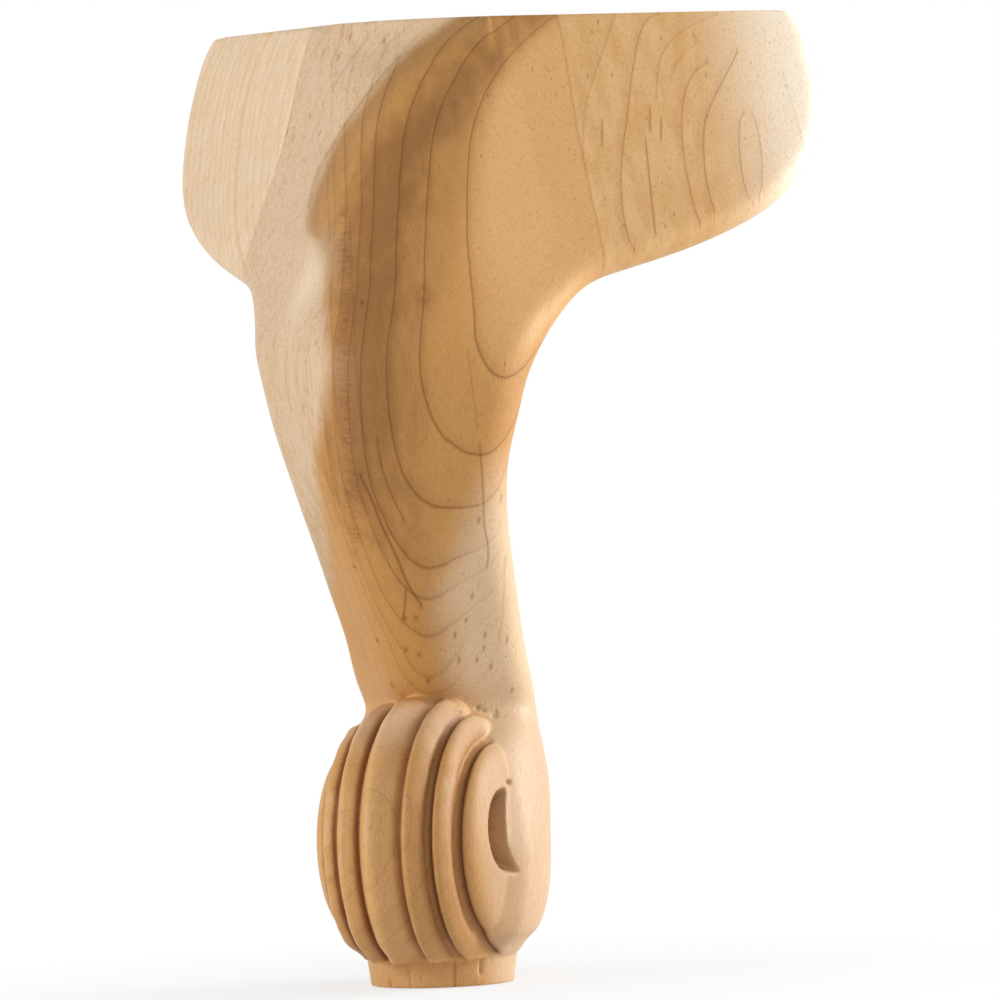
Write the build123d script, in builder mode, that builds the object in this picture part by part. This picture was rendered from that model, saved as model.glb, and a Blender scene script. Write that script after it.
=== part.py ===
from build123d import *
import math
import os

os.makedirs("parts", exist_ok=True)

# Carved corner leg in three glued blocks, in mm. The origin is the middle of the pad's
# underside, +Z is up, the right ear runs along +X and the left ear along +Y, so the knee
# looks towards (-X, -Y). "Out" below is that diagonal, "across" is square to it.

# Whole leg
HEIGHT = 254.0          # pad to top face
ANKLE_HEIGHT = 76.0     # where the shin meets the scroll
BLOCK_INNER = 39.5      # glue planes of the centre block, at x and at y
TOP_FACE = -10.0        # outer faces at the top edge

# Ears
EAR_REACH = 114.8       # from the pad's axis to the end of an ear
EAR_DROP = 58.5         # top face to the underside, half way along
EAR_BACK = 14.5         # inner face of the ear blocks, cut from 44.5 mm stock
EAR_EDGE = 5.3          # rounding along the front and lower edge
EAR_ROOT = 20.0         # how far in an ear's shape starts, inside the centre block
EAR_FOOT = 90.0         # top face to where the ear's outer slope ends, inside the shin
EAR_BEVEL = (7.0, 8.0)  # top corner of the end: how far in, how far down

# Underside of an ear beside the centre block: out from the pad's axis, up from EAR_DROP
EAR_UNDER_ROOT = ((EAR_ROOT, -27.0), (29.0, -18.5), (36.0, -13.7), (48.5, -9.8))
# Underside and end of an ear: in from the end, up from EAR_DROP
EAR_UNDER_END = ((51.5, -6.0), (29.5, 1.4), (14.0, 9.9), (3.6, 22.6), (0.0, 41.2))
EAR_LEAN = 1.8          # how far the end leans back in at the top

# Outer face of an ear: down from the top face, then the face
EAR_SLOPE = (
    (0.0, TOP_FACE + 0.5), (16.0, -15.0), (32.0, -19.6), (48.0, -26.0),
    (60.0, -31.0), (69.5, -34.8), (80.0, -39.0), (EAR_FOOT, -42.0),
)

# Scroll foot
SCROLL_OUT = 8.5        # axis of the reeded scroll, out from the pad's axis
SCROLL_UP = 38.0
SCROLL_RADIUS = 38.0
SCROLL_HALF_WIDTH = 25.3
SCROLL_FULLNESS = 2.35  # 2 is an ellipse, more is boxier
REED_EDGES = (-19.0, -13.2, -5.8, 5.8, 13.2, 19.0)
REED_DEPTH = 3.0

# Eye of the volute, a crescent cut on each cheek
EYE_OUT = 14.0
EYE_UP = 41.0
EYE_RADIUS = 13.5       # of the cut's cone where it starts
EYE_FLOOR = 8.4         # of the cone at the floor of the cut
EYE_BUTTON = 16.0       # radius of the round that the crescent leaves standing
EYE_LIP = 1.2           # front edge of that round, out from the middle of the eye
EYE_RISE = 4.0          # where the cut's cone starts, out from the cheek
EYE_SINK = 6.6          # floor of the cut, in from the cheek

# Foot pad
PAD_RADIUS = 18.9
PAD_FLARE = 1.0         # how much wider the pad is at its top
PAD_HEIGHT = 7.4

# How far rough cuts and overlaps reach past what they cut
SPARE = 1.0
CLEAR = 2 * HEIGHT

# Upper sections, top to ankle: share of the height above the ankle, outer face,
# outer face at the glue plane, inner face, front, side and back corner radii
LEG_SECTIONS = (
    (1.000, TOP_FACE, TOP_FACE + 1.5, BLOCK_INNER, 34, 1, 1),
    (0.920, -15.5, -13.5, BLOCK_INNER, 34, 1, 1),
    (0.835, -22.0, -17.8, BLOCK_INNER, 33, 1, 1),
    (0.750, -28.5, -23.5, BLOCK_INNER, 32, 1, 1),
    (0.675, -34.5, -29.3, BLOCK_INNER, 31, 2, 2),
    (0.607, -38.5, -34.2, 36.4, 30, 9, 6),
    (0.562, -41.0, -39.0, 28.2, 29, 14, 11),
    (0.517, -42.7, -42.7, 21.9, 28, 15.5, 14),
    (0.472, -43.1, -43.1, 17.1, 27, 15, 14),
    (0.416, -41.8, -41.8, 14.1, 26, 14, 13),
    (0.348, -39.1, -39.1, 11.9, 24, 14, 13),
    (0.281, -34.5, -34.5, 12.7, 21, 13, 12),
    (0.213, -29.0, -29.0, 15.9, 18, 13, 12),
    (0.146, -23.4, -23.4, 19.6, 16, 12.5, 12),
    (0.079, -17.8, -17.8, 23.4, 15, 12, 12),
    (0.011, -12.9, -12.9, 27.7, 15, 12, 12),
)

# Heel sections, ankle to pad: share of the ankle height, outer face, inner face,
# front, side and back corner radii
HEEL_SECTIONS = (
    (0.947, -10.7, 30.0, 15, 13.5, 12),
    (0.868, -16.4, 31.0, 16, 21.5, 12),
    (0.710, -24.6, 32.7, 18, 31, 13),
    (0.500, -29.5, 32.0, 20, 35, 13),
    (0.290, -28.4, 30.0, 20, 32, 13),
    (0.184, -27.1, 26.4, 19, 29, 12),
    (0.138, -24.3, 23.3, 18, 25, 12),
    (0.085, -20.0, 19.0, 16, 20, 12),
)


def out_plane(out, up):
    """Plane across the scroll's axis: its normal runs across, its x runs out."""
    middle = (-out / math.sqrt(2), -out / math.sqrt(2), up)
    return Plane(middle, x_dir=(-1, -1, 0), z_dir=(1, -1, 0))


def quad_section(height, face, edge, inner, front, side, back):
    corners = [(face, face), (inner, edge), (inner, inner), (edge, inner)]
    with BuildSketch(Plane.XY.offset(height)) as section:
        with BuildLine():
            FilletPolyline(*corners, radius=[front, side, back, side], close=True)
        make_face()
    return section.sketch


def post_body():
    """The centre block's own shape, lofted through square sections with round corners."""
    above = HEIGHT - ANKLE_HEIGHT
    sections = [quad_section(ANKLE_HEIGHT + share * above, *sizes)
                for share, *sizes in LEG_SECTIONS]
    sections += [quad_section(share * ANKLE_HEIGHT, face, face, inner, *radii)
                 for share, face, inner, *radii in HEEL_SECTIONS]
    with BuildPart() as body:
        loft(sections)
    return body.part


def ear_body():
    """The right ear: its front outline, met by the slope of its outer face."""
    top = HEIGHT
    low = HEIGHT - EAR_DROP
    end = EAR_REACH
    bevel_in, bevel_down = EAR_BEVEL
    outline = [(out, low + up) for out, up in EAR_UNDER_ROOT]
    outline += [(end - back, low + up) for back, up in EAR_UNDER_END]
    with BuildPart() as body:
        with BuildSketch(Plane.XZ):
            with BuildLine():
                under = Spline(*outline, (end - EAR_LEAN, top))
                Polyline(under @ 1, (EAR_ROOT, top), under @ 0)
            make_face()
        extrude(amount=CLEAR, both=True)
        with BuildSketch(Plane.YZ):
            with BuildLine():
                slope = Spline(*[(face, top - down) for down, face in EAR_SLOPE])
                Polyline(slope @ 1, (EAR_BACK, top - EAR_FOOT), (EAR_BACK, top), slope @ 0)
            make_face()
        extrude(amount=CLEAR, mode=Mode.INTERSECT)
        lower = [e for e in body.edges()
                 if e.center().Y < TOP_FACE and e.center().Z < top - SPARE
                 and e.center().X > EAR_ROOT + SPARE]
        fillet(lower, EAR_EDGE)
        with BuildSketch(Plane.XZ):
            Polygon((end - bevel_in, top), (end, top), (end, top - bevel_down), align=None)
        extrude(amount=CLEAR, both=True, mode=Mode.SUBTRACT)
    return body.part


def reed_profile():
    """Half section of the scroll along its axis: round reeds with sharp grooves between,
    and plain domed cheeks outside the last groove."""
    def barrel(across):
        share = abs(across) / SCROLL_HALF_WIDTH
        return SCROLL_RADIUS * (1 - share ** SCROLL_FULLNESS) ** (1 / SCROLL_FULLNESS)

    def groove(across):
        slope = (barrel(across + 0.01) - barrel(across - 0.01)) / 0.02
        length = math.hypot(1, slope)
        return (barrel(across) - REED_DEPTH / length, across + REED_DEPTH * slope / length)

    bottoms = [groove(across) for across in REED_EDGES]
    last = REED_EDGES[-1]
    dome = [last + share * (SCROLL_HALF_WIDTH - last) for share in (0.35, 0.72, 0.93)]
    with BuildLine() as line:
        for start, end, left, right in zip(bottoms, bottoms[1:], REED_EDGES, REED_EDGES[1:]):
            crest = (left + right) / 2
            ThreePointArc(start, (barrel(crest), crest), end)
        cheek = Spline(bottoms[-1], *[(barrel(across), across) for across in dome],
                       (0, SCROLL_HALF_WIDTH))
        other = Spline(bottoms[0], *[(barrel(across), -across) for across in dome],
                       (0, -SCROLL_HALF_WIDTH))
        Line(cheek @ 1, other @ 1)
    return line.line


def scroll_body():
    """The reeded scroll, turned about its axis across the leg."""
    axis = Plane((-SCROLL_OUT / math.sqrt(2), -SCROLL_OUT / math.sqrt(2), SCROLL_UP),
                 x_dir=(-1, -1, 0), z_dir=(0, 0, 1))
    with BuildPart() as body:
        with BuildSketch(axis):
            add(make_face(reed_profile().edges(), mode=Mode.PRIVATE))
        revolve(axis=Axis(axis.origin, axis.y_dir))
    return body.part


def eye_cut():
    """Crescents on both cheeks: a shallow cone, with a round left standing at its back."""
    cheek = SCROLL_HALF_WIDTH
    with BuildPart() as cut:
        for side in (1, -1):
            plane = out_plane(EYE_OUT, EYE_UP)
            plane = plane.offset(side * (cheek + EYE_RISE))
            with BuildSketch(plane):
                Circle(EYE_RADIUS)
            with BuildSketch(plane.offset(-side * (EYE_RISE + EYE_SINK))):
                Circle(EYE_FLOOR)
            loft()
            with BuildSketch(plane):
                with Locations((EYE_LIP - EYE_BUTTON, 0)):
                    Circle(EYE_BUTTON)
            extrude(amount=-side * cheek, mode=Mode.SUBTRACT)
    return cut.part


def pad_body():
    with BuildPart() as body:
        with BuildSketch():
            Circle(PAD_RADIUS)
        with BuildSketch(Plane.XY.offset(PAD_HEIGHT + SPARE)):
            Circle(PAD_RADIUS + PAD_FLARE)
        loft()
    return body.part


def block(x_side, y_side):
    """A large box with one corner edge on the glue planes, to keep one block's share."""
    with BuildPart() as box:
        with Locations((BLOCK_INNER, BLOCK_INNER, HEIGHT / 2)):
            Box(CLEAR, CLEAR, CLEAR, align=(x_side, y_side, Align.CENTER))
    return box.part


def mirrored(shape):
    """The same shape over the knee's diagonal, from the right side to the left."""
    return mirror(shape, about=Plane(origin=(0, 0, 0), z_dir=(1, -1, 0)), mode=Mode.PRIVATE)


def whole_leg(ear):
    """The leg as carved after glue-up, before it is told apart into its blocks."""
    with BuildPart() as leg:
        add(post_body())
        add(block(Align.MAX, Align.MAX), mode=Mode.INTERSECT)
        add(scroll_body())
        with Locations((0, 0, PAD_HEIGHT)):
            Box(CLEAR, CLEAR, CLEAR, mode=Mode.SUBTRACT,
                align=(Align.CENTER, Align.CENTER, Align.MAX))
        add(eye_cut(), mode=Mode.SUBTRACT)
        add(pad_body())
        add(ear)
        add(mirrored(ear))
    return leg.part


ear = ear_body()

with BuildPart() as leg_post:
    add(whole_leg(ear))
    add(block(Align.MAX, Align.MAX), mode=Mode.INTERSECT)
leg_post.part.label = "leg_post"
export_step(leg_post.part, "parts/leg_post.step")

with BuildPart() as right_ear:
    add(ear)
    add(block(Align.MIN, Align.MAX), mode=Mode.INTERSECT)
right_ear.part.label = "right_ear"
export_step(right_ear.part, "parts/right_ear.step")

with BuildPart() as left_ear:
    add(mirrored(ear))
    add(block(Align.MAX, Align.MIN), mode=Mode.INTERSECT)
left_ear.part.label = "left_ear"
export_step(left_ear.part, "parts/left_ear.step")
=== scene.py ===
import math

import bmesh
import bpy
import numpy as np
from mathutils import Matrix, Vector
from mathutils.bvhtree import BVHTree


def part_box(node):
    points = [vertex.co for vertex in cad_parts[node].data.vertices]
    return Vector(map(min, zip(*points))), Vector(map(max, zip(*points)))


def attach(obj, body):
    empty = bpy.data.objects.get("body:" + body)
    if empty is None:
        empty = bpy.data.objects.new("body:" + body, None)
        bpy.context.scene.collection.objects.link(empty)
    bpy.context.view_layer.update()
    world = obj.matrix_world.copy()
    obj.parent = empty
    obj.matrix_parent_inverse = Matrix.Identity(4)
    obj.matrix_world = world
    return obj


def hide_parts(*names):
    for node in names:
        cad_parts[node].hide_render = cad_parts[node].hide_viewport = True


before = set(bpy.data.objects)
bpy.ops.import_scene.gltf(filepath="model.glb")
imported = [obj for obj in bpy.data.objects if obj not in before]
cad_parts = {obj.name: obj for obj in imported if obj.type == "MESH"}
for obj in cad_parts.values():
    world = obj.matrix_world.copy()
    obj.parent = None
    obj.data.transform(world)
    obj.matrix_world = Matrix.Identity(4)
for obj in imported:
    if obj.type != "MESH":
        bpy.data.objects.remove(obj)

MM = 0.001

# Camera from the photograph: turned from -Y towards -X, a little below the knee, rolled
CAM_TURN = math.radians(24.4)
CAM_ROLL = math.radians(2.2)
CAM_FAR, CAM_HIGH = 2.235, 0.17385
FRAME_PX, FOCAL_PX = 1000, 8484.7
AIM_RIGHT_PX, AIM_DOWN_PX = 75.5, 179.5     # photo centre, from the level line of sight

AHEAD = Vector((math.sin(CAM_TURN), math.cos(CAM_TURN), 0))
RIGHT = Vector((math.cos(CAM_TURN), -math.sin(CAM_TURN), 0))
HIGH = Vector((0, 0, 1))
CAM_PLACE = HIGH * CAM_HIGH - AHEAD * CAM_FAR
LOOK = (AHEAD + RIGHT * (AIM_RIGHT_PX / FOCAL_PX) - HIGH * (AIM_DOWN_PX / FOCAL_PX)).normalized()
LEVEL = RIGHT * math.cos(CAM_ROLL) - HIGH * math.sin(CAM_ROLL)
SIDE = (LEVEL - LOOK * LEVEL.dot(LOOK)).normalized()
UP = SIDE.cross(LOOK)

# The leg, read from the frame
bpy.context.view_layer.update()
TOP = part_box("leg_post")[1].z
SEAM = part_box("leg_post")[1].x          # glue planes at x = SEAM and y = SEAM

# The scroll foot, in mm, as in the part's source
ROOT2 = math.sqrt(2)
SCROLL_OUT, SCROLL_UP = 8.5, 38.0       # scroll axis, from the pad's axis and the floor
REED_EDGES = (-19.0, -13.2, -5.8, 5.8, 13.2, 19.0)
PAD_RADIUS = 19.4
REEDED_HALF = 19.8                      # the reeds end this far from the middle

# Hand work on the foot, in mm
GROOVE_CUT, GROOVE_WIDTH = 1.1, 0.7     # knife line along each groove
REED_LEAN = 0.085                       # how far crests lean to their left, per mm of reed
REED_FACETS = 0.11                      # waviness that the gouge left along the reeds
TUCK = 1.9                              # the scroll's bottom edge is tucked in by this much
PAD_CUT_WIDTH = 0.45
# Knife lines on the pad: degrees round it from the photo's side, depth, from, to
PAD_LINES = ((-46.6, 0.8, -1, 3.5), (-26.2, 0.3, -1, 7), (10.1, 0.9, -1, 8), (31.0, 0.6, 2.5, 8))
# Nicks: place, radius, depth
NICKS = (
    ((8.3, -10.7, 72.3), 1.2, 0.8), ((9.9, -11.0, 71.7), 1.0, 0.6), ((12.3, -11.8, 70.0), 1.3, 0.5),
    ((-5.7, -10.7, 74.5), 1.4, 1.1), ((-16.2, -6.3, 73.5), 1.2, 0.8), ((1.4, -15.0, 72.0), 1.2, 0.8),
    ((10.1, -23.8, 53.2), 1.1, 1.0), ((-14.7, -37.0, 181.2), 0.9, 0.15),
)
NICK_SQUASH = 1.6                       # nicks are this much wider than they are high

# Mesh fineness
VOXEL = 0.5 * MM
FACE_SHARE = 0.26
# Rounds of smoothing
BODY_ROUNDS = 60
JOIN_ROUNDS = 150
TIP_ROUNDS = 70
FOOT_ROUNDS = 2


# Geometry

def carved_copy():
    """One closed mesh of the whole leg, as it was when it was carved after glue-up."""
    copies = []
    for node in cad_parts.values():
        copy = node.copy()
        copy.data = node.data.copy()
        copy.parent = None
        bpy.context.scene.collection.objects.link(copy)
        copies.append(copy)
    bpy.ops.object.select_all(action="DESELECT")
    for copy in copies:
        copy.select_set(True)
    bpy.context.view_layer.objects.active = copies[0]
    bpy.ops.object.join()
    whole = bpy.context.view_layer.objects.active
    whole.name = "whole_leg"
    for key in [k for k in whole.keys() if k.startswith("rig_")]:
        del whole[key]
    apply_modifier(whole, "REMESH", mode="VOXEL", voxel_size=VOXEL)
    return whole


def apply_modifier(obj, kind, **settings):
    """Adds a modifier with these settings and applies it."""
    mod = obj.modifiers.new(kind.lower(), kind)
    for name, value in settings.items():
        setattr(mod, name, value)
    bpy.context.view_layer.objects.active = obj
    bpy.ops.object.modifier_apply(modifier=mod.name)


def places(obj):
    """The vertices, one row each, in metres."""
    co = np.empty(len(obj.data.vertices) * 3, np.float32)
    obj.data.vertices.foreach_get("co", co)
    return co.reshape(-1, 3).astype(float)


def set_places(obj, co):
    obj.data.vertices.foreach_set("co", co.astype(np.float32).ravel())
    obj.data.update()


def normals(obj):
    no = np.empty(len(obj.data.vertices) * 3, np.float32)
    obj.data.vertices.foreach_get("normal", no)
    return no.reshape(-1, 3).astype(float)


def ramp(value, low, high):
    """Smooth step from 0 at low to 1 at high."""
    t = np.clip((value - low) / (high - low), 0, 1)
    return t * t * (3 - 2 * t)


def smooth(obj, weights, rounds):
    """Smooths by weights of 0 to 1, rounded to eighths."""
    group = obj.vertex_groups.new(name="smooth")
    levels = np.round(weights * 8).astype(int)
    for level in range(1, 9):
        group.add(np.nonzero(levels == level)[0].tolist(), level / 8, "REPLACE")
    apply_modifier(obj, "SMOOTH", factor=0.5, iterations=rounds, vertex_group="smooth")
    obj.vertex_groups.clear()


def sand(obj):
    """Blends the knee, the ears and the shin into each other, and leaves the foot crisp."""
    co = places(obj) / MM
    x, y, z = co.T
    rim = ramp(TOP / MM - z, 0.8, 5)
    body = ramp(z, 74, 86) * rim
    back = ramp(np.minimum(x, y), 4, 13) * ramp(z, 190, 200)
    smooth(obj, body * (1 - back), BODY_ROUNDS)
    join = np.exp(-(((z - 186) / 13) ** 2)) * ramp(np.maximum(x, y), 8, 22)
    join *= 1 - ramp(np.maximum(x, y), 52, 72)
    smooth(obj, join * (1 - back), JOIN_ROUNDS)
    tip = ramp(np.maximum(x, y), 98, 106) * ramp(z, 232, 240)
    smooth(obj, tip, TIP_ROUNDS)
    smooth(obj, 1 - ramp(z, 72, 80), FOOT_ROUNDS)


def carve_foot(obj):
    """Knife lines in the grooves, crests that lean, gouge facets and a tucked-in bottom edge."""
    co = places(obj) / MM
    x, y, z = co.T
    across = (x - y) / ROOT2
    out = -(x + y) / ROOT2 - SCROLL_OUT
    up = z - SCROLL_UP
    radius = np.hypot(out, up)
    turn = np.arctan2(up, out)
    reeded = ramp(out, -3, 2) * ramp(77 - z, 0, 3) * ramp(z, 7, 8) * ramp(REEDED_HALF - abs(across), 0, 1)
    lift = np.zeros(len(co))
    for edge in REED_EDGES:
        lift -= GROOVE_CUT * np.exp(-((across - edge) / GROOVE_WIDTH) ** 2)
    chance = np.random.default_rng(4)
    for low, high in zip(REED_EDGES, REED_EDGES[1:]):
        inside = (across >= low) & (across < high)
        share = (across - low) / (high - low)
        lean = REED_LEAN * (high - low) * np.sin(2 * math.pi * share)
        wave = sum(np.cos(waves * turn + chance.uniform(0, 6.3)) for waves in (11, 17, 25))
        lift += inside * (lean + REED_FACETS * wave * np.sin(math.pi * share))
    lift *= reeded
    co[:, 2] += lift * up / radius
    co[:, :2] -= (lift * out / radius / ROOT2)[:, None]

    far = np.hypot(co[:, 0], co[:, 1])
    tuck = TUCK * ramp(14 - z, 0, 6) * ramp(far, PAD_RADIUS + 1.2, PAD_RADIUS + 6) * (z > 6.5)
    co[:, :2] *= (1 - tuck / np.maximum(far, 1))[:, None]

    round_pad = np.degrees(np.arctan2(co @ RIGHT, co @ -AHEAD))
    pad = ramp(8.4 - z, 0, 0.6) * (far < PAD_RADIUS + 1.5) * ramp(far, 15, 17)
    for at, depth, low, high in PAD_LINES:
        off = np.radians(round_pad - at) * PAD_RADIUS
        cut = depth * np.exp(-(off / PAD_CUT_WIDTH) ** 2) * ramp(z, low, low + 1) * ramp(high - z, 0, 2) * pad
        co[:, :2] *= (1 - cut / np.maximum(far, 1))[:, None]
    set_places(obj, co * MM)


def nick(obj):
    """Small hollows that the tools left."""
    co = places(obj) / MM
    no = normals(obj)
    for place, size, depth in NICKS:
        near = np.linalg.norm((co - place) * (1, 1, NICK_SQUASH), axis=1) / size
        co -= no * (depth * np.clip(1 - near ** 2, 0, 1))[:, None]
    set_places(obj, co * MM)


def on_wood(surface, line):
    """Places on the leg, in mm, that lie behind given points in the photograph."""
    found = []
    for px, py in line:
        toward = LOOK * FOCAL_PX + SIDE * (px - FRAME_PX / 2) + UP * (FRAME_PX / 2 - py)
        place = surface.ray_cast(CAM_PLACE, toward.normalized())[0]
        if place:
            found.append(place / MM)
    return found


def split(whole):
    """The post and the two ears, cut apart at the glue planes."""
    keep = {"leg_post": ((-1, 0), (0, -1)), "right_ear": ((1, 0),), "left_ear": ((0, 1),)}
    glue_corner = Vector((SEAM, SEAM, 0))
    made = {}
    for node, sides in keep.items():
        piece = whole.copy()
        piece.data = whole.data.copy()
        piece.name = piece.data.name = node + "_wood"
        bpy.context.scene.collection.objects.link(piece)
        bm = bmesh.new()
        bm.from_mesh(piece.data)
        for side in sides:
            normal = Vector((side[0], side[1], 0))
            cut = bmesh.ops.bisect_plane(
                bm, geom=bm.verts[:] + bm.edges[:] + bm.faces[:], plane_co=glue_corner,
                plane_no=normal, clear_inner=True)
            rim = [e for e in cut["geom_cut"] if isinstance(e, bmesh.types.BMEdge)]
            for edge in rim:
                edge.smooth = False
            bmesh.ops.holes_fill(bm, edges=rim)
        for face in bm.faces:
            face.smooth = True
        bm.to_mesh(piece.data)
        bm.free()
        made[node] = piece
    bpy.data.objects.remove(whole)
    return made


# Shader helpers

LINE_END = 2.5                          # mm over which a given line ends
LINE_SHADE_DEPTH, RING_SHADE_DEPTH = 0.22, 0.25
RING_WIDTH, RING_SHADE = 0.22, 1.8      # mm


class Shader:
    """Short names for the maths nodes of one material."""

    def __init__(self, name):
        self.mat = bpy.data.materials.new(name)
        self.mat.use_nodes = True
        self.tree = self.mat.node_tree
        self.bsdf = self.tree.nodes["Principled BSDF"]
        coords = self.tree.nodes.new("ShaderNodeTexCoord")
        scale = self.node("ShaderNodeVectorMath", operation="SCALE")
        self.tree.links.new(coords.outputs["Object"], scale.inputs[0])
        scale.inputs["Scale"].default_value = 1 / MM
        self.spot = scale.outputs[0]
        parts = self.node("ShaderNodeSeparateXYZ")
        self.tree.links.new(self.spot, parts.inputs[0])
        self.x, self.y, self.z = parts.outputs
        # Distance to the photograph's right, in which its lines are traced
        self.aside = self.add(self.mul(self.x, RIGHT.x), self.mul(self.y, RIGHT.y))

    def node(self, kind, **settings):
        node = self.tree.nodes.new(kind)
        for name, value in settings.items():
            setattr(node, name, value)
        return node

    def put(self, socket, value):
        if isinstance(value, bpy.types.NodeSocket):
            self.tree.links.new(value, socket)
        else:
            socket.default_value = value

    def maths(self, operation, *values):
        node = self.node("ShaderNodeMath", operation=operation)
        for socket, value in zip(node.inputs, values):
            self.put(socket, value)
        return node.outputs[0]

    def add(self, *values):
        total = values[0]
        for value in values[1:]:
            total = self.maths("ADD", total, value)
        return total

    def mul(self, *values):
        total = values[0]
        for value in values[1:]:
            total = self.maths("MULTIPLY", total, value)
        return total

    def sub(self, a, b):
        return self.maths("SUBTRACT", a, b)

    def power2(self, value, centre):
        """(value - centre) squared"""
        off = self.sub(value, centre)
        return self.mul(off, off)

    def hump(self, value, centre, width):
        """A bell, 1 at the centre"""
        off = self.maths("DIVIDE", self.sub(value, centre), width)
        return self.maths("EXPONENT", self.mul(self.mul(off, off), -1.0))

    def step(self, value, low, high):
        """Smooth step from 0 at low to 1 at high"""
        node = self.node("ShaderNodeMapRange", interpolation_type="SMOOTHSTEP")
        self.put(node.inputs["Value"], value)
        self.put(node.inputs["From Min"], low)
        self.put(node.inputs["From Max"], high)
        return node.outputs["Result"]

    def fade(self, value, low, high):
        """Smooth step from 1 at low to 0 at high"""
        return self.sub(1.0, self.step(value, low, high))

    def ring_edge(self, off, width, shade, depth):
        """A thin line where off is 0, with a soft shade where off is below 0"""
        soft = self.mul(self.step(off, -shade, 0.0), self.fade(off, -0.1, 0.2))
        return self.maths("MAXIMUM", self.hump(off, 0.0, width), self.mul(soft, depth))

    def trace(self, value, points):
        """A smooth curve through given points, from value to result"""
        ins = [point[0] for point in points]
        outs = [point[1] for point in points]
        low, span = min(outs), max(outs) - min(outs)
        share = self.maths("DIVIDE", self.sub(value, ins[0]), ins[-1] - ins[0])
        node = self.node("ShaderNodeFloatCurve")
        self.put(node.inputs["Value"], self.maths("MAXIMUM", self.maths("MINIMUM", share, 1.0), 0.0))
        curve = node.mapping.curves[0]
        while len(curve.points) < len(points):
            curve.points.new(0.5, 0.5)
        for spot, (here, there) in zip(curve.points, points):
            spot.location = ((here - ins[0]) / (ins[-1] - ins[0]), (there - low) / span)
        node.mapping.update()
        return self.add(low, self.mul(node.outputs[0], span))

    def line(self, places, width=0.28, shade=0.0):
        """A thin line up through the places, with a soft shade on its left"""
        points = sorted((place.z, place.dot(RIGHT)) for place in places)
        off = self.sub(self.aside, self.trace(self.z, points))
        if shade:
            thin = self.ring_edge(off, width, shade, LINE_SHADE_DEPTH)
        else:
            thin = self.hump(off, 0.0, width)
        low, high = points[0][0], points[-1][0]
        ends = self.mul(self.step(self.z, low - LINE_END, low), self.fade(self.z, high, high + LINE_END))
        return self.mul(thin, ends)

    def dot(self, place, size, tall=2.0):
        """A soft spot on the wood, taller than wide"""
        node = self.node("ShaderNodeVectorMath", operation="MULTIPLY")
        self.put(node.inputs[0], self.spot)
        node.inputs[1].default_value = (1, 1, 1 / tall)
        far = self.node("ShaderNodeVectorMath", operation="DISTANCE")
        self.put(far.inputs[0], node.outputs[0])
        far.inputs[1].default_value = (place[0], place[1], place[2] / tall)
        return self.hump(far.outputs["Value"], 0.0, size)

    def most(self, values):
        total = values[0]
        for value in values[1:]:
            total = self.maths("MAXIMUM", total, value)
        return total

    def noise(self, sizes, detail=2.0, seed=0.0, warp=0.0):
        """Noise about 0, whose grains are about these sizes in mm along x, y and z"""
        node = self.node("ShaderNodeMapping", vector_type="TEXTURE")
        self.put(node.inputs["Vector"], self.spot)
        node.inputs["Scale"].default_value = sizes
        node.inputs["Location"].default_value = (seed * 7.3, seed * 3.1, seed * 11.7)
        tex = self.node("ShaderNodeTexNoise")
        self.put(tex.inputs["Vector"], node.outputs[0])
        tex.inputs["Scale"].default_value = 1.0
        tex.inputs["Detail"].default_value = detail
        tex.inputs["Distortion"].default_value = warp
        return self.sub(tex.outputs["Fac"], 0.5)

    def blend(self, share, a, b):
        node = self.node("ShaderNodeMix", data_type="RGBA")
        self.put(node.inputs["Factor"], share)
        self.put(node.inputs[6], a if isinstance(a, bpy.types.NodeSocket) else (*a, 1))
        self.put(node.inputs[7], b if isinstance(b, bpy.types.NodeSocket) else (*b, 1))
        return node.outputs[2]

    def darken(self, colour, share, tint):
        """Multiplies a colour by the tint, by a share of 0 to 1"""
        node = self.node("ShaderNodeMix", data_type="RGBA", blend_type="MULTIPLY")
        self.put(node.inputs["Factor"], share)
        self.put(node.inputs[6], colour)
        node.inputs[7].default_value = (*tint, 1)
        return node.outputs[2]


def growth_lines(sh, rings, levels):
    """Thin dark ring edges, each with a soft shade on the side of the pith."""
    lines = []
    for at, strength in levels:
        edge = sh.ring_edge(sh.sub(rings, at), RING_WIDTH, RING_SHADE, RING_SHADE_DEPTH)
        lines.append(sh.mul(edge, strength))
    return sh.most(lines)


# Tones of the wood
SAP = (0.63, 0.46, 0.30)
SAP_WARM = (0.50, 0.33, 0.165)
SAP_RIGHT = (0.70, 0.50, 0.31)
HEEL = (0.62, 0.42, 0.255)
TAN = (0.54, 0.27, 0.076)
DARK = (0.305, 0.138, 0.036)
ORANGE = (0.67, 0.375, 0.142)
REED_TAN = (0.61, 0.34, 0.13)
CROWN = (0.72, 0.53, 0.37)
EYE_TAN = (0.56, 0.31, 0.09)

LINE_TINT = (0.55, 0.42, 0.30)
FLECK_TINT = (0.62, 0.48, 0.36)
STREAK_TINT = (0.72, 0.55, 0.38)
SEAM_TINT = (0.88, 0.79, 0.68)
PALE_GLINT = (0.76, 0.60, 0.43)


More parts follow.
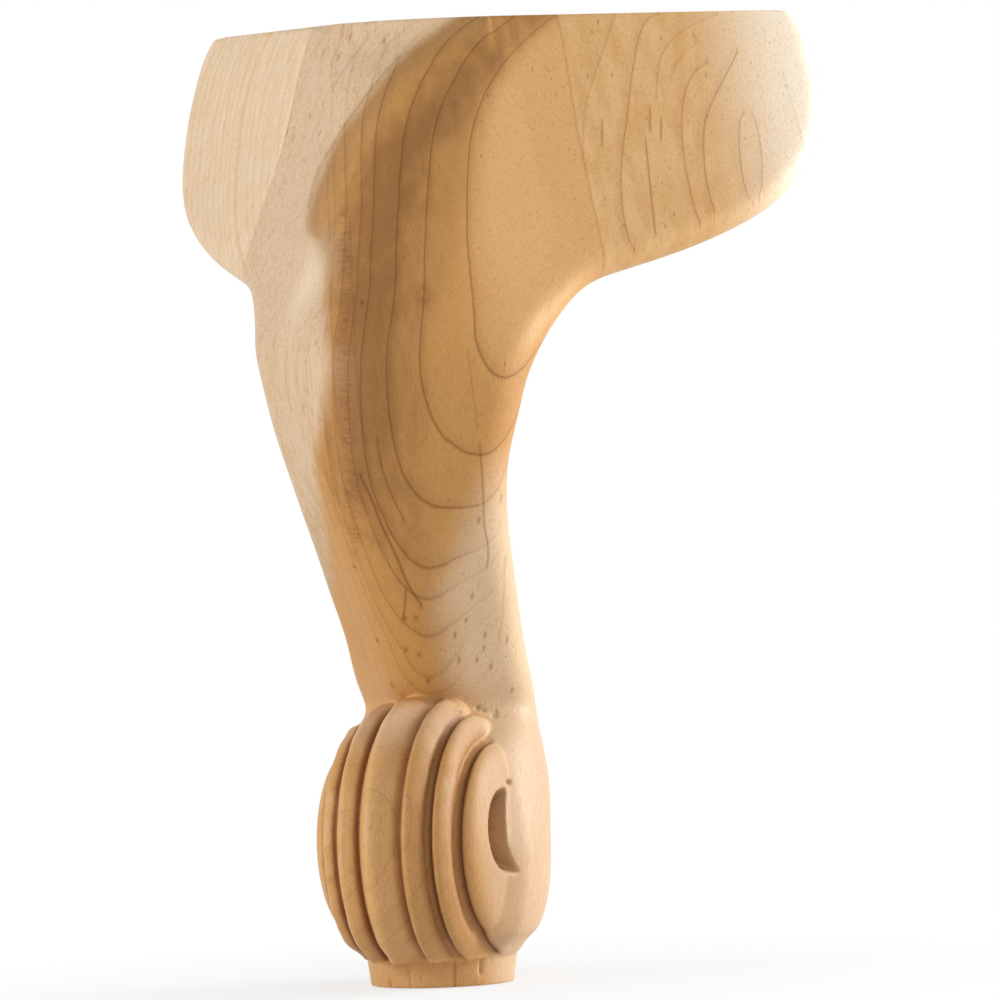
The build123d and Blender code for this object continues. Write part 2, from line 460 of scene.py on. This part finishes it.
def finish_wood(sh, colour, figure):
    """Fine grain, pores and satin gloss, the same on every block."""
    fine = sh.noise((0.30, 0.30, 8.0), detail=3.0, seed=1)
    colour = sh.darken(colour, sh.step(fine, -0.05, 0.25), (0.84, 0.77, 0.67))
    dashes = sh.noise((0.22, 0.22, 3.0), detail=1.0, seed=17)
    colour = sh.darken(colour, sh.mul(sh.step(dashes, 0.12, 0.24), 0.6), (0.80, 0.68, 0.55))
    pores = sh.noise((0.8, 0.8, 3.2), detail=1.0, seed=5)
    colour = sh.darken(colour, sh.mul(sh.step(pores, 0.23, 0.30), 0.9), FLECK_TINT)
    sh.put(sh.bsdf.inputs["Base Color"], colour)
    sh.put(sh.bsdf.inputs["Roughness"], sh.add(0.48, sh.mul(fine, 0.25)))
    sh.bsdf.inputs["Specular IOR Level"].default_value = 0.30
    bump = sh.node("ShaderNodeBump")
    bump.inputs["Strength"].default_value = 0.10
    bump.inputs["Distance"].default_value = 0.0002
    sh.put(bump.inputs["Height"], sh.add(fine, sh.mul(figure, 0.3)))
    sh.put(sh.bsdf.inputs["Normal"], bump.outputs[0])
    return sh.mat


# Traces up the knee, (height, distance across the knee's diagonal), in mm
HEART_LEFT = ((60, -60), (78, -42), (95, -30), (110, -20), (120, -18), (132, -17), (145, -13),
              (155, -9.5), (168, -9), (181, -12), (195, -17.5), (203, -24), (215, -22), (229, -12.7),
              (244, -0.9), (254, 11.1))
HEART_RIGHT = ((60, 13), (80, 9.5), (91, 10), (101, 11), (111, 16),
               (127, 25), (144, 36), (160, 52), (175, 75), (254, 75))
DARK_BAND = ((0, -2), (60, 0), (90, 2), (115, 1), (134, 0), (155, 2), (180, 3), (200, 1), (215, 2),
             (224, 7), (233, 14), (243, 21), (254, 29))
LADDER = ((108, -9), (117, -7.0), (134, -3.9), (155, -2.1), (181, -4.3), (203, -9.5), (214, -12))

# Lines on the post, in pixels of the photograph
# each with its width, the width of the shade beside it, and its strength
POST_LINES = (
    (((361, 477), (371, 498), (382, 526), (397, 558), (408, 584), (421, 604)), 0.45, 3.0, 1.0),
    (((377, 441), (382, 467), (394, 500), (403, 517)), 0.3, 0, 0.7),
    (((406, 589), (405, 603), (403, 618)), 0.35, 0, 0.8),
    (((480, 448), (483, 491), (484, 522), (488, 550), (487, 563)), 0.28, 0, 0.8),
    (((468, 352), (472, 385), (477, 425)), 0.3, 0, 0.35),
    (((505, 560), (503, 606), (499, 639)), 0.3, 0, 0.35),
    (((398, 58), (375, 84), (352, 115), (333, 145), (318, 172), (309, 205)), 0.5, 0, 0.45),
    (((368, 38), (350, 62), (333, 87)), 0.35, 0, 0.35),
    (((330, 222), (331, 300), (334, 380), (343, 440)), 0.3, 0, 0.3),
    (((350, 222), (353, 300), (357, 380), (366, 440)), 0.3, 0, 0.3),
)
POST_DOTS = (
    (405, 618), (416, 618), (406, 650), (419, 655), (428, 681), (354, 567), (392, 685), (377, 640),
    (362, 303), (300, 585), (318, 640), (497, 712))
POST_STROKES = (
    (455, 635), (485, 635), (477, 660), (466, 620), (501, 498), (491, 667), (459, 660), (484, 648),
    (507, 640), (512, 690), (479, 520), (472, 596), (324, 52), (310, 116), (287, 132), (293, 138),
    (320, 133), (350, 37), (384, 41))
KNOT = (424, 295)
GLINT = (307, 285)

# Lines on the right ear, in pixels of the photograph, and their strengths
RIGHT_EAR_RINGS = (
    (((615, 15), (606, 42), (593, 79), (584, 118), (583, 157), (589, 203), (600, 250)), 0.45),
    (((659, 15), (641, 31), (632, 74), (628, 110), (622, 157), (621, 193), (628, 236), (634, 248)), 0.8),
    (((717, 15), (678, 35), (663, 53), (657, 79), (656, 94)), 0.55),
    (((696, 44), (678, 61), (671, 79)), 0.4),
    (((707, 64), (687, 87), (682, 111), (682, 138), (687, 175), (696, 212), (700, 221)), 0.75),
    (((737, 53), (724, 79), (711, 105), (704, 129), (704, 157), (707, 184), (714, 208)), 0.85),
    (((744, 114), (739, 138), (741, 166), (746, 190), (753, 201)), 0.7),
    (((752, 114), (760, 144), (762, 166), (759, 195)), 0.6),
    (((783, 74), (794, 110), (803, 144), (804, 152)), 0.3),
)
RIGHT_EAR_STREAKS = (
    ((646, 144), (650, 185), (655, 230)), ((650, 112), (650, 126)), ((661, 122), (661, 137)),
    ((602, 124), (602, 141)), ((586, 236), (587, 250)))
RIGHT_EAR_DOTS = (
    (661, 38), (612, 75), (694, 35), (706, 75), (598, 22), (592, 32), (588, 76), (665, 226), (674, 214))


def post_wood(surface):
    sh = Shader("post_wood")
    across = sh.mul(sh.sub(sh.x, sh.y), math.sqrt(0.5))
    wander = sh.mul(sh.noise((12, 12, 45), seed=6), 5.0)
    # The pith runs past the front of the post on a slant, so rings cut the knee in long U shapes
    up = sh.sub(sh.z, 150.0)
    up2 = sh.mul(up, up)
    pith_x = sh.add(10.6, sh.mul(up, 0.727), sh.mul(up2, -0.00052))
    pith_y = sh.add(-98.8, sh.mul(up, 0.421), sh.mul(up2, 0.00729))
    rings = sh.maths("SQRT", sh.add(sh.power2(sh.x, pith_x), sh.power2(sh.y, pith_y)))
    rings = sh.add(rings, sh.mul(sh.noise((26, 26, 90), seed=2), 1.6),
                   sh.mul(sh.noise((5, 5, 30), seed=3), 0.6))

    on_foot = sh.fade(sh.z, 64.0, 80.0)
    wavy = sh.add(across, sh.mul(wander, sh.sub(1.0, on_foot)))
    off_left = sh.sub(wavy, sh.trace(sh.z, HEART_LEFT))
    off_right = sh.sub(wavy, sh.trace(sh.z, HEART_RIGHT))
    pale = sh.add(sh.mul(sh.step(off_right, -6.0, 6.0), sh.sub(1.0, on_foot)),
                  sh.mul(sh.step(sh.aside, 9.0, 17.0), on_foot))
    heart = sh.mul(sh.step(off_left, -2.0, 4.0), sh.sub(1.0, pale))
    streak = sh.noise((3.5, 3.5, 70), detail=3.0, seed=4)
    band = sh.hump(sh.add(across, wander), sh.trace(sh.z, DARK_BAND), 12.0)
    band = sh.mul(band, sh.step(sh.z, 88.0, 150.0), sh.sub(1.0, sh.mul(sh.step(sh.z, 222.0, 250.0), 0.5)))
    band = sh.add(sh.mul(band, 0.95), sh.mul(streak, 0.9))
    inside = sh.fade(rings, 46.0, 57.0)

    warm = sh.step(sh.add(sh.mul(streak, 1.4), sh.mul(sh.step(sh.z, 150.0, 95.0), 0.8)), -0.1, 0.9)
    hairs = sh.noise((0.9, 0.9, 60), detail=2.0, seed=8)
    left = sh.darken(sh.blend(warm, SAP, SAP_WARM), sh.step(hairs, 0.0, 0.2), (0.90, 0.80, 0.66))
    right = sh.blend(sh.step(sh.z, 60.0, 80.0), HEEL, SAP_RIGHT)
    sap = sh.blend(sh.step(across, -4.0, 10.0), left, right)
    tan = sh.blend(sh.step(band, 0.0, 1.0), TAN, DARK)
    rim = sh.mul(sh.hump(off_left, 3.0, 7.0), sh.step(sh.z, 170.0, 200.0))
    tan = sh.darken(tan, rim, (0.74, 0.78, 0.95))
    tan = sh.blend(inside, tan, ORANGE)
    tan = sh.blend(sh.fade(sh.z, 62.0, 90.0), tan, REED_TAN)
    colour = sh.blend(heart, sap, tan)

    marks = growth_lines(sh, rings, (
        (53.2, 1.0), (63.2, 0.95), (70.5, 0.95), (77.2, 0.85), (80.6, 0.7), (84.8, 0.6), (88.0, 0.45),
        (90.0, 0.35), (93.5, 0.3), (98.0, 0.25), (103.0, 0.25)))
    marks = sh.mul(marks, sh.add(0.3, sh.mul(heart, 0.6)), sh.sub(1.0, sh.mul(on_foot, 0.7)))
    colour = sh.darken(colour, marks, LINE_TINT)

    streaks = sh.most([sh.mul(sh.line(on_wood(surface, line), width, shade), strength) for
                       line, width, shade, strength in POST_LINES])
    colour = sh.darken(colour, streaks, (0.60, 0.46, 0.33))
    spots = [sh.dot(place, 0.62, 1.5) for place in on_wood(surface, POST_DOTS)]
    spots += [sh.dot(place, 0.45, 4.0) for place in on_wood(surface, POST_STROKES)]
    knot = on_wood(surface, [KNOT])[0]
    spots.append(sh.mul(sh.sub(sh.dot(knot, 2.0, 1.2), sh.dot(knot, 1.3, 1.2)), 1.2))
    colour = sh.darken(colour, sh.mul(sh.most(spots), 0.8), (0.52, 0.37, 0.25))
    # Painted highlight on the left front corner of the knee
    glint = sh.dot(on_wood(surface, [GLINT])[0], 6.5, 2.2)
    colour = sh.blend(sh.mul(glint, 0.8), colour, PALE_GLINT)

    # Ray flecks: short rungs up the front left corner, and curls on the left face
    low_high = sh.mul(sh.step(sh.z, 108.0, 122.0), sh.fade(sh.z, 200.0, 212.0))
    ladder = sh.mul(sh.hump(across, sh.trace(sh.z, LADDER), 2.0), low_high)
    rungs = sh.noise((4, 4, 0.55), detail=1.0, seed=12)
    colour = sh.darken(colour, sh.mul(ladder, sh.step(rungs, -0.05, 0.12), 0.7), (0.78, 0.67, 0.54))
    face = sh.mul(sh.fade(across, -26.0, -17.0), sh.step(sh.z, 120.0, 150.0))
    curls = sh.noise((1.2, 2.4, 0.9), detail=2.0, seed=14, warp=1.5)
    colour = sh.darken(colour, sh.mul(face, sh.step(curls, 0.02, 0.2), 0.55), (0.82, 0.68, 0.50))

    # Painted shade in the grooves between the reeds
    out = sh.mul(sh.add(sh.x, sh.y), -1 / ROOT2)
    reeded = sh.mul(sh.step(out, SCROLL_OUT - 3.0, SCROLL_OUT + 2.0), sh.fade(sh.z, 73.0, 76.0),
                    sh.step(sh.z, 7.0, 9.0))
    crown = sh.mul(reeded, sh.step(sh.z, 60.0, 72.0))
    colour = sh.blend(sh.mul(crown, 0.6), colour, CROWN)
    # Painted shade: darker in the grooves between the reeds
    grooves = sh.most([sh.hump(across, edge, 0.7) for edge in REED_EDGES[1:]])
    colour = sh.darken(colour, sh.mul(grooves, reeded), (0.45, 0.33, 0.23))
    # Painted shade on the right flank of each reed
    flank_painted_shade = sh.most([sh.mul(sh.step(across, edge - 3.0, edge - 0.3), sh.fade(across, edge, edge + 0.3))
                      for edge in REED_EDGES[1:]])
    colour = sh.darken(colour, sh.mul(flank_painted_shade, reeded), (0.72, 0.60, 0.48))
    # Painted shade over the two right reeds
    right_reeds_painted_shade = sh.mul(reeded, sh.step(across, 4.8, 6.8))
    colour = sh.darken(colour, right_reeds_painted_shade, (0.82, 0.76, 0.66))
    eye = sh.node("ShaderNodeCombineXYZ")
    sh.put(eye.inputs[0], sh.sub(out, SCROLL_OUT))
    sh.put(eye.inputs[1], sh.sub(sh.z, SCROLL_UP))
    from_eye = sh.node("ShaderNodeVectorMath", operation="LENGTH")
    sh.put(from_eye.inputs[0], eye.outputs[0])
    sunk = sh.mul(sh.fade(from_eye.outputs["Value"], 14.5, 15.5), sh.fade(across, 17.0, 19.0))
    colour = sh.blend(sh.mul(sunk, sh.step(across, 0.0, 5.0)), colour, EYE_TAN)
    seams = sh.add(sh.hump(sh.x, SEAM / MM, 0.3), sh.hump(sh.y, SEAM / MM, 0.3))
    colour = sh.darken(colour, seams, SEAM_TINT)
    return finish_wood(sh, colour, rungs)


def right_ear_wood(surface):
    sh = Shader("right_ear_wood")
    streak = sh.noise((4, 4, 60), detail=3.0, seed=23)
    colour = sh.blend(sh.step(streak, -0.25, 0.25), (0.71, 0.44, 0.20), (0.63, 0.36, 0.135))
    # Paler towards the rounded end: partly paler wood, partly painted light on the end that faces the right
    pale_end_wood_and_painted_light = sh.step(sh.add(sh.x, sh.mul(streak, 10.0)), 74.0, 112.0)
    colour = sh.blend(pale_end_wood_and_painted_light, colour, (0.96, 0.84, 0.67))
    rings = sh.most([sh.mul(sh.line(on_wood(surface, line), 0.26, 3.5), strength)
                     for line, strength in RIGHT_EAR_RINGS])
    colour = sh.darken(colour, rings, (0.66, 0.50, 0.35))
    streaks = [sh.line(on_wood(surface, line)) for line in RIGHT_EAR_STREAKS]
    streaks += [sh.dot(place, 0.32, 2.2) for place in on_wood(surface, RIGHT_EAR_DOTS)]
    colour = sh.darken(colour, sh.mul(sh.most(streaks), 0.75), (0.55, 0.38, 0.25))
    colour = sh.darken(colour, sh.hump(sh.x, SEAM / MM, 0.3), SEAM_TINT)
    return finish_wood(sh, colour, rings)


def left_ear_wood():
    sh = Shader("left_ear_wood")
    rings = sh.add(sh.y, sh.mul(sh.power2(sh.z, 236.0), 0.0162), sh.mul(sh.noise((20, 20, 60), seed=31), 1.6),
                   sh.mul(sh.noise((4, 4, 25), seed=32), 0.35))
    streak = sh.noise((3, 3, 80), detail=3.0, seed=33)
    colour = sh.blend(sh.step(streak, -0.25, 0.25), (0.73, 0.565, 0.385), (0.68, 0.49, 0.305))
    marks = growth_lines(sh, rings, [(at, 0.4) for at in (
        46, 51, 55.5, 61, 65, 78, 81, 84.5, 88, 92, 95, 99, 103, 107)])
    colour = sh.darken(colour, marks, STREAK_TINT)
    colour = sh.darken(colour, sh.mul(sh.hump(rings, 72.6, 1.3), 0.85), (0.94, 0.78, 0.64))
    colour = sh.darken(colour, sh.hump(sh.y, SEAM / MM, 0.3), SEAM_TINT)
    return finish_wood(sh, colour, rings)


# Build

whole = carved_copy()
sand(whole)
carve_foot(whole)
nick(whole)
if FACE_SHARE < 1:
    apply_modifier(whole, "DECIMATE", ratio=FACE_SHARE)
surface = BVHTree.FromObject(whole, bpy.context.evaluated_depsgraph_get())
blocks = split(whole)
woods = {
    "leg_post": post_wood(surface), "right_ear": right_ear_wood(surface),
    "left_ear": left_ear_wood()}
for node, piece in blocks.items():
    piece.data.materials.clear()
    piece.data.materials.append(woods[node])
    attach(piece, "root")
    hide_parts(node)
    print(piece.name, len(piece.data.polygons), "faces")


# Floor, light and camera

FLOOR_RADIUS, FLOOR_DROP = 3.0, 0.0002
WORLD_FILL = 0.28


def background_rays(tree):
    """1 for rays that show the background: seen directly, in a gloss or through glass"""
    path = tree.nodes.new("ShaderNodeLightPath")
    total = path.outputs["Is Camera Ray"]
    for name in ("Is Glossy Ray", "Is Transmission Ray"):
        most = tree.nodes.new("ShaderNodeMath")
        most.operation = "MAXIMUM"
        tree.links.new(total, most.inputs[0])
        tree.links.new(path.outputs[name], most.inputs[1])
        total = most.outputs[0]
    return total


def white_floor():
    """A pale floor that fades into the white background, and keeps the leg's soft shadow."""
    bpy.ops.mesh.primitive_circle_add(
        vertices=96, radius=FLOOR_RADIUS, fill_type="NGON", location=(0, 0, -FLOOR_DROP))
    floor = bpy.context.object
    floor.name = "floor"
    mat = bpy.data.materials.new("floor")
    mat.use_nodes = True
    tree = mat.node_tree
    bsdf = tree.nodes["Principled BSDF"]
    bsdf.inputs["Base Color"].default_value = (0.86, 0.86, 0.85, 1)
    bsdf.inputs["Roughness"].default_value = 0.9
    bsdf.inputs["Specular IOR Level"].default_value = 0.0
    glow = tree.nodes.new("ShaderNodeEmission")
    glow.inputs["Color"].default_value = (1, 1, 1, 1)
    glow.inputs["Strength"].default_value = 1.0
    coords = tree.nodes.new("ShaderNodeTexCoord")
    far = tree.nodes.new("ShaderNodeVectorMath")
    far.operation = "LENGTH"
    fade = tree.nodes.new("ShaderNodeMapRange")
    fade.inputs["From Min"].default_value = 0.02
    fade.inputs["From Max"].default_value = 0.16
    fade.inputs["To Min"].default_value = 0.72
    fade.inputs["To Max"].default_value = 1.0
    seen = tree.nodes.new("ShaderNodeMath")
    seen.operation = "MULTIPLY"
    mix = tree.nodes.new("ShaderNodeMixShader")
    links = tree.links
    links.new(coords.outputs["Object"], far.inputs[0])
    links.new(far.outputs["Value"], fade.inputs["Value"])
    links.new(fade.outputs["Result"], seen.inputs[0])
    links.new(background_rays(tree), seen.inputs[1])
    links.new(seen.outputs[0], mix.inputs["Fac"])
    links.new(bsdf.outputs[0], mix.inputs[1])
    links.new(glow.outputs[0], mix.inputs[2])
    links.new(mix.outputs[0], tree.nodes["Material Output"].inputs["Surface"])
    floor.data.materials.append(mat)


def white_world(fill):
    world = bpy.data.worlds.new("studio")
    bpy.context.scene.world = world
    world.use_nodes = True
    tree = world.node_tree
    back = tree.nodes["Background"]
    level = tree.nodes.new("ShaderNodeMapRange")
    level.inputs["To Min"].default_value = fill
    level.inputs["To Max"].default_value = 1.0
    tree.links.new(background_rays(tree), level.inputs["Value"])
    tree.links.new(level.outputs["Result"], back.inputs["Strength"])
    back.inputs["Color"].default_value = (1, 1, 1, 1)


def lamp(name, place, aim, size, power):
    data = bpy.data.lights.new(name, "AREA")
    data.shape = "RECTANGLE"
    data.size, data.size_y = size
    data.energy = power
    light = bpy.data.objects.new(name, data)
    bpy.context.scene.collection.objects.link(light)
    light.location = place
    light.rotation_euler = (Vector(aim) - Vector(place)).to_track_quat("-Z", "Y").to_euler()


def camera():
    data = bpy.data.cameras.new("camera")
    data.lens = FOCAL_PX / FRAME_PX * data.sensor_width
    cam = bpy.data.objects.new("camera", data)
    bpy.context.scene.collection.objects.link(cam)
    turn = Matrix((SIDE, UP, -LOOK)).transposed()
    cam.matrix_world = Matrix.Translation(CAM_PLACE) @ turn.to_4x4()
    bpy.context.scene.camera = cam


white_floor()
white_world(WORLD_FILL)
lamp("left_soft", HIGH * 0.35 - AHEAD * 0.6 - RIGHT * 1.3, (0, 0, 0.14), (0.7, 1.0), 16.5)
lamp("right_soft", HIGH * 0.45 + AHEAD * 0.3 + RIGHT * 1.4, (0, 0, 0.13), (0.7, 1.0), 28)
lamp("front_soft", HIGH * 1.1 - AHEAD * 1.5 + RIGHT * 0.3, (0, 0, 0.12), (1.0, 0.8), 6)
camera()
bpy.context.scene.view_settings.view_transform = "Standard"
